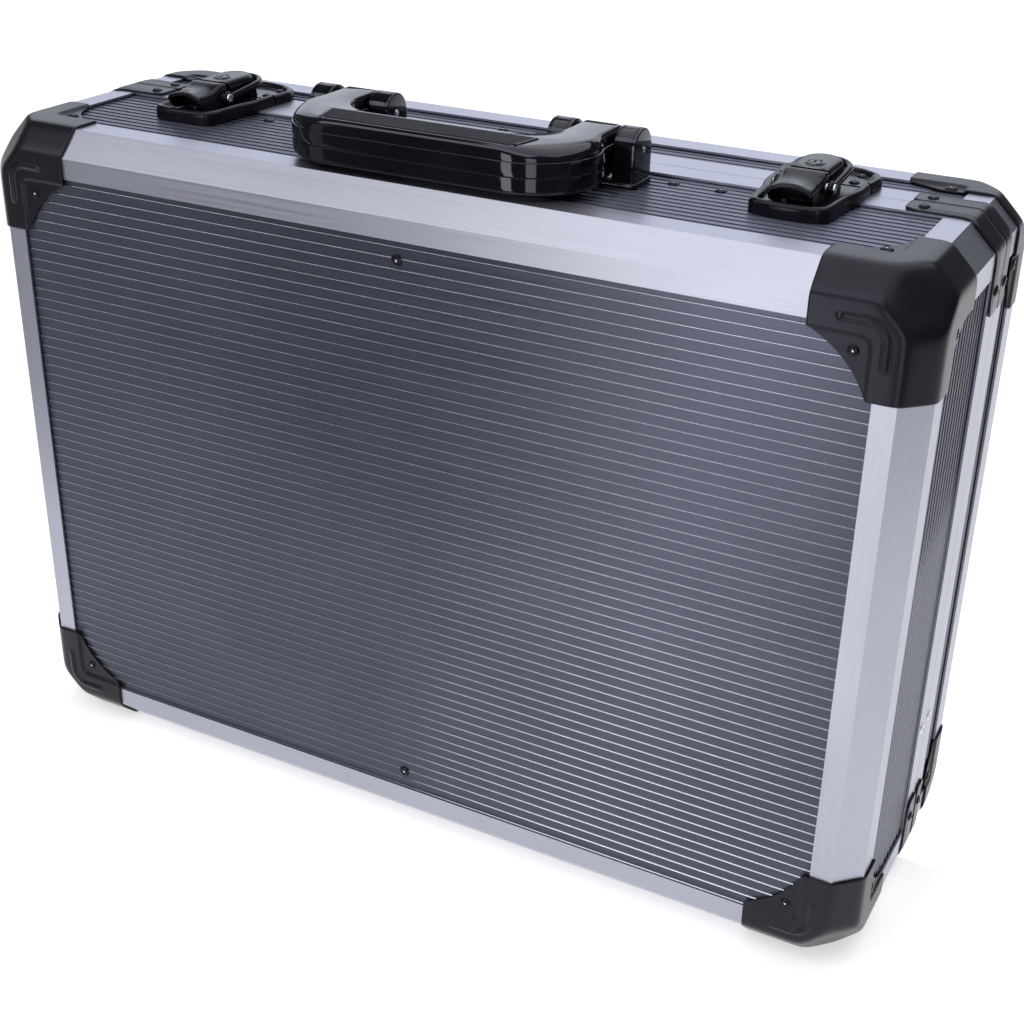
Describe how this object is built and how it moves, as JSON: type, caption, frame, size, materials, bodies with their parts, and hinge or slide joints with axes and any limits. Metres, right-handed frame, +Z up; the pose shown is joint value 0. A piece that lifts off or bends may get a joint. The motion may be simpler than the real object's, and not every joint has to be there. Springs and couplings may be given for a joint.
{
  "type": "hard shell equipment case",
  "caption": "Aluminium-framed hard-shell case with ribbed panels, black steel corners, folding carry handle, key-locking draw latches and a hinged, stayed lid.",
  "frame": {"origin": "bottom centre of the closed case standing on its hinge side", "axes": "+X along the case's length, +Y to the rear (lid side), +Z up towards the handle"},
  "size_m": [0.4624, 0.1584, 0.3492],
  "materials": {
    "ribbed_board": "satin metallic, ribbed",
    "brushed_aluminium": "brushed satin anodised",
    "black_steel": "satin powder coat",
    "latch_black": "semi gloss",
    "handle_gloss": "gloss",
    "grip_insert": "fine texture",
    "bright_steel": "zinc plated",
    "lining": "foam backed fabric"
  },
  "bodies": {
    "base": {"base_clip_bottom_left": "black_steel", "base_clip_bottom_right": "black_steel", "base_clip_top_left": "black_steel", "base_clip_top_right": "black_steel", "base_edge_frame": "brushed_aluminium", "base_face_panel": "ribbed_board", "base_lining": "lining", "base_post_bottom_left": "brushed_aluminium", "base_post_bottom_right": "brushed_aluminium", "base_post_top_left": "brushed_aluminium", "base_post_top_right": "brushed_aluminium", "base_protector_bottom_left": "black_steel", "base_protector_bottom_right": "black_steel", "base_protector_top_left": "black_steel", "base_protector_top_right": "black_steel", "base_rim": "brushed_aluminium", "base_wall_bottom": "ribbed_board", "base_wall_left": "ribbed_board", "base_wall_right": "ribbed_board", "base_wall_top": "ribbed_board", "handle_bracket_left": "handle_gloss", "handle_bracket_right": "handle_gloss", "hinge_leaf_base_left": "black_steel", "hinge_leaf_base_right": "black_steel", "hinge_pin_left": "bright_steel", "hinge_pin_right": "bright_steel", "latch_cap_left": "latch_black", "latch_cap_right": "latch_black", "latch_plate_left": "latch_black", "latch_plate_right": "latch_black"},
    "lid": {"hinge_leaf_lid_left": "black_steel", "hinge_leaf_lid_right": "black_steel", "latch_catch_left": "latch_black", "latch_catch_right": "latch_black", "lid_clip_bottom_left": "black_steel", "lid_clip_bottom_right": "black_steel", "lid_clip_top_left": "black_steel", "lid_clip_top_right": "black_steel", "lid_edge_frame": "brushed_aluminium", "lid_face_panel": "ribbed_board", "lid_lining": "lining", "lid_protector_bottom_left": "black_steel", "lid_protector_bottom_right": "black_steel", "lid_protector_top_left": "black_steel", "lid_protector_top_right": "black_steel", "lid_rim": "brushed_aluminium", "lid_wall_band": "ribbed_board"},
    "handle": {"handle_insert": "grip_insert", "handle_lower": "handle_gloss", "handle_upper": "handle_gloss"},
    "bail_left": {"latch_bail_left": "latch_black"},
    "bail_right": {"latch_bail_right": "latch_black"},
    "lever_left": {"latch_lever_left": "latch_black"},
    "lever_right": {"latch_lever_right": "latch_black"},
    "lock_left": {"latch_lock_left": "bright_steel"},
    "lock_right": {"latch_lock_right": "bright_steel"},
    "stay_link_base_left": {"stay_link_base_left": "bright_steel"},
    "stay_link_base_right": {"stay_link_base_right": "bright_steel"},
    "stay_link_lid_left": {"stay_link_lid_left": "bright_steel"},
    "stay_link_lid_right": {"stay_link_lid_right": "bright_steel"}
  },
  "joints": [
    {"name": "lid_hinge", "type": "hinge", "parent": "base", "child": "lid", "pos_m": [0, 0.0215, 0.0012], "axis": [-1, 0, 0], "range_deg": [0, 100]},
    {"name": "handle_pivot", "type": "hinge", "parent": "base", "child": "handle", "pos_m": [0, -0.01, 0.3402], "axis": [-1, 0, 0], "range_deg": [0, 95]},
    {"name": "lever_left_pivot", "type": "hinge", "parent": "base", "child": "lever_left", "pos_m": [-0.1515, -0.0035, 0.3337], "axis": [-1, 0, 0], "range_deg": [0, 60]},
    {"name": "bail_left_pivot", "type": "hinge", "parent": "base", "child": "bail_left", "pos_m": [-0.1515, -0.0035, 0.3337], "axis": [1, 0, 0], "range_deg": [0, 120]},
    {"name": "lock_left_turn", "type": "hinge", "parent": "base", "child": "lock_left", "pos_m": [-0.1515, 0.008, 0.3407], "axis": [0, 0, -1], "range_deg": [0, 90]},
    {"name": "lever_right_pivot", "type": "hinge", "parent": "base", "child": "lever_right", "pos_m": [0.1515, -0.0035, 0.3337], "axis": [-1, 0, 0], "range_deg": [0, 60]},
    {"name": "bail_right_pivot", "type": "hinge", "parent": "base", "child": "bail_right", "pos_m": [0.1515, -0.0035, 0.3337], "axis": [1, 0, 0], "range_deg": [0, 120]},
    {"name": "lock_right_turn", "type": "hinge", "parent": "base", "child": "lock_right", "pos_m": [0.1515, 0.008, 0.3407], "axis": [0, 0, -1], "range_deg": [0, 90]},
    {"name": "stay_left_base_pivot", "type": "hinge", "parent": "base", "child": "stay_link_base_left", "pos_m": [-0.2167, 0.013, 0.0812], "axis": [-1, 0, 0], "range_deg": [0, 105.19]},
    {"name": "stay_left_knee", "type": "hinge", "parent": "stay_link_base_left", "child": "stay_link_lid_left", "pos_m": [-0.2189, 0.01915, 0.15595], "axis": [1, 0, 0], "range_deg": [0, 112.55]},
    {"name": "stay_right_base_pivot", "type": "hinge", "parent": "base", "child": "stay_link_base_right", "pos_m": [0.2167, 0.013, 0.0812], "axis": [-1, 0, 0], "range_deg": [0, 105.19]},
    {"name": "stay_right_knee", "type": "hinge", "parent": "stay_link_base_right", "child": "stay_link_lid_right", "pos_m": [0.2189, 0.01915, 0.15595], "axis": [1, 0, 0], "range_deg": [0, 112.55]}
  ],
  "couplings": [
    {"joint": "stay_left_base_pivot", "follows": "lid_hinge", "ratio": 1.0419},
    {"joint": "stay_left_knee", "follows": "lid_hinge", "ratio": 1.1155},
    {"joint": "stay_right_base_pivot", "follows": "lid_hinge", "ratio": 1.0419},
    {"joint": "stay_right_knee", "follows": "lid_hinge", "ratio": 1.1155}
  ]
}
